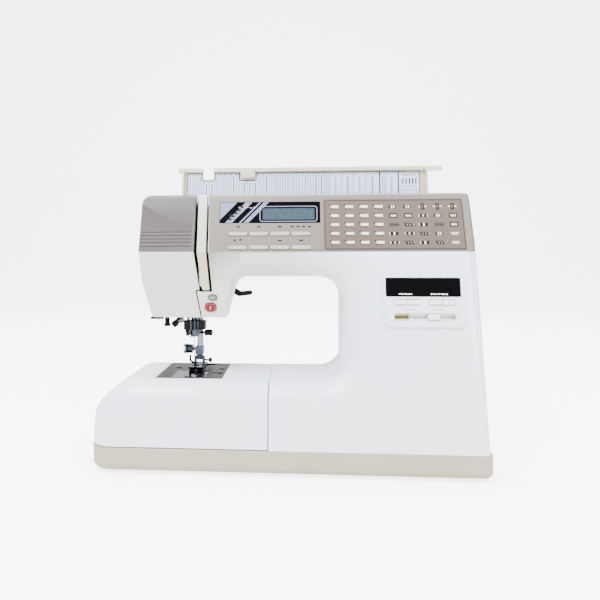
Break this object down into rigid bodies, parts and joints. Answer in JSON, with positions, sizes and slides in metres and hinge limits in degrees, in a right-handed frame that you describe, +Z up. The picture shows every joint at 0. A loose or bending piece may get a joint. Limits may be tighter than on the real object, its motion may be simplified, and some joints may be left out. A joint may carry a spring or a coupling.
{
  "type": "sewing machine",
  "caption": "Free-arm electronic sewing machine with a raised thread-compartment lid, push-button panel, stitch chart, speed slide and a wrap-round extension table.",
  "frame": {"origin": "under the middle of the bounding box, on the table", "axes": "+X along the bed to the right (handwheel side), +Y to the back, +Z up"},
  "size_m": [0.438, 0.1706, 0.343],
  "materials": {
    "black_plastic": "black",
    "board": "solder mask",
    "body_white": "satin gloss cool white",
    "button_green": "grey green",
    "button_red": "red",
    "cap_taupe": "fine matt taupe",
    "cast": "raw casting",
    "chrome": "polished",
    "clear_blue": "clear smoked",
    "dark_steel": "dark brushed",
    "display_black": "glossy dark window",
    "key_ivory": "matt ivory",
    "lid_ivory": "satin ivory, lightly aged",
    "membrane_brown": "matt printed film",
    "motor": "dark",
    "pan_ivory": "satin ivory",
    "panel_grey": "fine matt grey",
    "rubber": "matt",
    "slider_white": "matt off white",
    "steel": "brushed"
  },
  "bodies": {
    "machine": {"base_pan": "pan_ivory", "rubber_feet": "rubber", "free_arm_cover": "body_white", "front_cover": "body_white", "rear_cover": "body_white", "face_cover": "body_white", "face_cap": "cap_taupe", "panel_bezel": "panel_grey", "display_window": "display_black", "stitch_membrane": "membrane_brown", "speed_tablet": "body_white", "top_tray": "body_white", "spool_pin": "body_white", "needle_plate": "dark_steel", "bobbin_case": "black_plastic", "drive_belt": "rubber", "motor": "motor", "circuit_board": "board", "cast_frame": "cast", "power_inlet": "black_plastic"},
    "lid": {"top_lid": "lid_ivory"},
    "table": {"extension_table": "body_white"},
    "cover": {"bobbin_cover": "clear_blue"},
    "release": {"cover_release_button": "black_plastic"},
    "hook": {"rotary_hook": "steel"},
    "bobbin": {"bobbin": "clear_blue"},
    "feed": {"feed_dog": "steel"},
    "needle_frame": {"needle_bar_frame": "cast"},
    "needle_bar": {"needle_bar": "chrome", "needle_clamp": "steel", "needle": "chrome", "threader_head": "black_plastic"},
    "clamp_screw": {"needle_clamp_screw": "black_plastic"},
    "presser": {"presser_bar": "chrome", "foot_holder": "steel"},
    "foot_screw": {"foot_screw": "steel"},
    "foot": {"zigzag_foot": "steel"},
    "foot_lock": {"foot_lock_button": "black_plastic"},
    "lifter": {"lifter_lever": "black_plastic"},
    "threader": {"needle_threader": "black_plastic"},
    "buttonhole": {"buttonhole_lever": "chrome"},
    "take_up": {"take_up_lever": "chrome"},
    "drive": {"main_shaft": "steel", "handwheel": "body_white"},
    "lower_drive": {"lower_shaft": "steel"},
    "winder": {"winder_spindle": "steel"},
    "switch": {"power_switch": "black_plastic"},
    "start_stop": {"start_stop_button": "button_red"},
    "needle_button": {"needle_button": "button_green"},
    "slider": {"speed_slider": "slider_white"},
    "width_keys": {"width_rocker": "key_ivory"},
    "length_keys": {"length_rocker": "key_ivory"},
    "key_1": {"function_key_1": "key_ivory"},
    "key_2": {"function_key_2": "key_ivory"},
    "key_3": {"function_key_3": "key_ivory"},
    "key_4": {"function_key_4": "key_ivory"},
    "key_5": {"function_key_5": "key_ivory"},
    "key_6": {"function_key_6": "key_ivory"},
    "key_7": {"function_key_7": "key_ivory"},
    "key_8": {"function_key_8": "key_ivory"}
  },
  "joints": [
    {"name": "lid_hinge", "type": "hinge", "parent": "machine", "child": "lid", "pos_m": [-0.122, 0.0173, 0.2945], "axis": [1, 0, 0], "range_deg": [0, 94]},
    {"name": "table_slide", "type": "slide", "parent": "machine", "child": "table", "axis": [-1, 0, 0], "range_m": [0, 0.17]},
    {"name": "cover_lift", "type": "slide", "parent": "machine", "child": "cover", "axis": [0, 0, 1], "range_m": [0, 0.025]},
    {"name": "release_slide", "type": "slide", "parent": "machine", "child": "release", "axis": [1, 0, 0], "range_m": [0, 0.0035], "stiffness_N_per_m": 150},
    {"name": "hook_spin", "type": "hinge", "parent": "machine", "child": "hook", "pos_m": [-0.119, -0.0257, 0.07], "axis": [0, 0, 1], "continuous": true},
    {"name": "bobbin_spin", "type": "hinge", "parent": "machine", "child": "bobbin", "pos_m": [-0.119, -0.0257, 0.075], "axis": [0, 0, 1], "continuous": true},
    {"name": "feed_slide", "type": "slide", "parent": "machine", "child": "feed", "axis": [0, 1, 0], "range_m": [-0.0022, 0.0022]},
    {"name": "needle_swing", "type": "hinge", "parent": "machine", "child": "needle_frame", "pos_m": [-0.122, 0.0023, 0.262], "axis": [0, -1, 0], "range_deg": [0, 2.4]},
    {"name": "needle_slide", "type": "slide", "parent": "needle_frame", "child": "needle_bar", "axis": [0, 0, 1], "range_m": [-0.027, 0.005]},
    {"name": "clamp_screw_turn", "type": "hinge", "parent": "needle_bar", "child": "clamp_screw", "pos_m": [-0.112, 0.0023, 0.1366], "axis": [1, 0, 0], "range_deg": [0, 360]},
    {"name": "presser_slide", "type": "slide", "parent": "machine", "child": "presser", "axis": [0, 0, 1], "range_m": [0, 0.006]},
    {"name": "foot_screw_turn", "type": "hinge", "parent": "presser", "child": "foot_screw", "pos_m": [-0.129, 0.0133, 0.1145], "axis": [1, 0, 0], "range_deg": [0, 360]},
    {"name": "foot_tilt", "type": "hinge", "parent": "presser", "child": "foot", "pos_m": [-0.117, 0.0113, 0.1044], "axis": [-1, 0, 0], "range_deg": [0, 10]},
    {"name": "foot_lock_slide", "type": "slide", "parent": "foot", "child": "foot_lock", "axis": [-1, 0, 0], "range_m": [0, 0.0018]},
    {"name": "lifter_turn", "type": "hinge", "parent": "machine", "child": "lifter", "pos_m": [-0.114, 0.0783, 0.2], "axis": [0, -1, 0], "range_deg": [0, 40]},
    {"name": "threader_slide", "type": "slide", "parent": "machine", "child": "threader", "axis": [0, 0, -1], "range_m": [0, 0.028]},
    {"name": "buttonhole_slide", "type": "slide", "parent": "machine", "child": "buttonhole", "axis": [0, 0, -1], "range_m": [0, 0.035]},
    {"name": "take_up_swing", "type": "hinge", "parent": "machine", "child": "take_up", "pos_m": [-0.11, 0.0083, 0.252], "axis": [1, 0, 0], "range_deg": [0, 48]},
    {"name": "handwheel_spin", "type": "hinge", "parent": "machine", "child": "drive", "pos_m": [0.078, 0.0373, 0.24], "axis": [1, 0, 0], "continuous": true},
    {"name": "lower_shaft_spin", "type": "hinge", "parent": "machine", "child": "lower_drive", "pos_m": [0.078, -0.0257, 0.052], "axis": [1, 0, 0], "continuous": true},
    {"name": "winder_spin", "type": "hinge", "parent": "machine", "child": "winder", "pos_m": [0.14, -0.0087, 0.27], "axis": [0, 0, 1], "continuous": true},
    {"name": "power_rocker", "type": "hinge", "parent": "machine", "child": "switch", "pos_m": [0.1967, 0.0043, 0.051], "axis": [0, 0, 1], "range_deg": [-2, 2]},
    {"name": "start_stop_press", "type": "slide", "parent": "machine", "child": "start_stop", "axis": [0, 0.9888, 0.1495], "range_m": [0, 0.0012], "stiffness_N_per_m": 400},
    {"name": "needle_button_press", "type": "slide", "parent": "machine", "child": "needle_button", "axis": [0, 0.9888, 0.1495], "range_m": [0, 0.0012], "stiffness_N_per_m": 400},
    {"name": "slider_slide", "type": "slide", "parent": "machine", "child": "slider", "axis": [1, 0, 0], "range_m": [-0.032, 0.015]},
    {"name": "width_rock", "type": "hinge", "parent": "machine", "child": "width_keys", "pos_m": [0.1184, -0.06474, 0.182], "axis": [0, 0.1285, 0.9917], "range_deg": [-2, 2], "stiffness_Nm_per_rad": 0.05},
    {"name": "length_rock", "type": "hinge", "parent": "machine", "child": "length_keys", "pos_m": [0.1546, -0.06474, 0.182], "axis": [0, 0.1285, 0.9917], "range_deg": [-2, 2], "stiffness_Nm_per_rad": 0.05},
    {"name": "key_1_press", "type": "slide", "parent": "machine", "child": "key_1", "axis": [0, 0.9654, -0.2609], "range_m": [0, 0.001], "stiffness_N_per_m": 300},
    {"name": "key_2_press", "type": "slide", "parent": "machine", "child": "key_2", "axis": [0, 0.9654, -0.2609], "range_m": [0, 0.001], "stiffness_N_per_m": 300},
    {"name": "key_3_press", "type": "slide", "parent": "machine", "child": "key_3", "axis": [0, 0.9654, -0.2609], "range_m": [0, 0.001], "stiffness_N_per_m": 300},
    {"name": "key_4_press", "type": "slide", "parent": "machine", "child": "key_4", "axis": [0, 0.9654, -0.2609], "range_m": [0, 0.001], "stiffness_N_per_m": 300},
    {"name": "key_5_press", "type": "slide", "parent": "machine", "child": "key_5", "axis": [0, 0.9654, -0.2609], "range_m": [0, 0.001], "stiffness_N_per_m": 300},
    {"name": "key_6_press", "type": "slide", "parent": "machine", "child": "key_6", "axis": [0, 0.9654, -0.2609], "range_m": [0, 0.001], "stiffness_N_per_m": 300},
    {"name": "key_7_press", "type": "slide", "parent": "machine", "child": "key_7", "axis": [0, 0.9654, -0.2609], "range_m": [0, 0.001], "stiffness_N_per_m": 300},
    {"name": "key_8_press", "type": "slide", "parent": "machine", "child": "key_8", "axis": [0, 0.9654, -0.2609], "range_m": [0, 0.001], "stiffness_N_per_m": 300}
  ],
  "couplings": [
    {"joint": "presser_slide", "follows": "lifter_turn", "m_per_rad": 0.008594},
    {"joint": "lower_shaft_spin", "follows": "handwheel_spin", "ratio": 1},
    {"joint": "hook_spin", "follows": "handwheel_spin", "ratio": 2}
  ]
}
